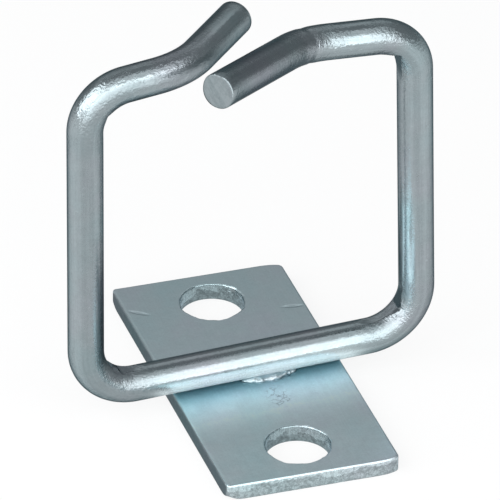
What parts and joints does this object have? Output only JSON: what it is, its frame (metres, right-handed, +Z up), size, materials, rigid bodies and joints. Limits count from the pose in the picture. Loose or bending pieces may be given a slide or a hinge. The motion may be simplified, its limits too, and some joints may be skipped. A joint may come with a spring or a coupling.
{
  "type": "cable management bracket",
  "caption": "Open square wire ring welded across a flat plate with screw holes; the wire's ends pass each other at the top, leaving a slanted mouth for laying in cables.",
  "frame": {"origin": "centre of the plate's underside", "axes": "+X along the ring's lower bar, +Y along the plate to the back, +Z up out of the plate through the ring"},
  "size_m": [0.0535, 0.0513, 0.0624],
  "materials": {
    "plate_zinc": "satin blue-white zinc plating on flat bar",
    "wire_zinc": "satin blue-white zinc plating on drawn wire",
    "weld_metal": "zinc plating over an uneven weld bead"
  },
  "bodies": {
    "root": {"mounting_plate": "plate_zinc", "cable_ring": "wire_zinc", "weld_front": "weld_metal", "weld_back": "weld_metal"}
  },
  "joints": []
}
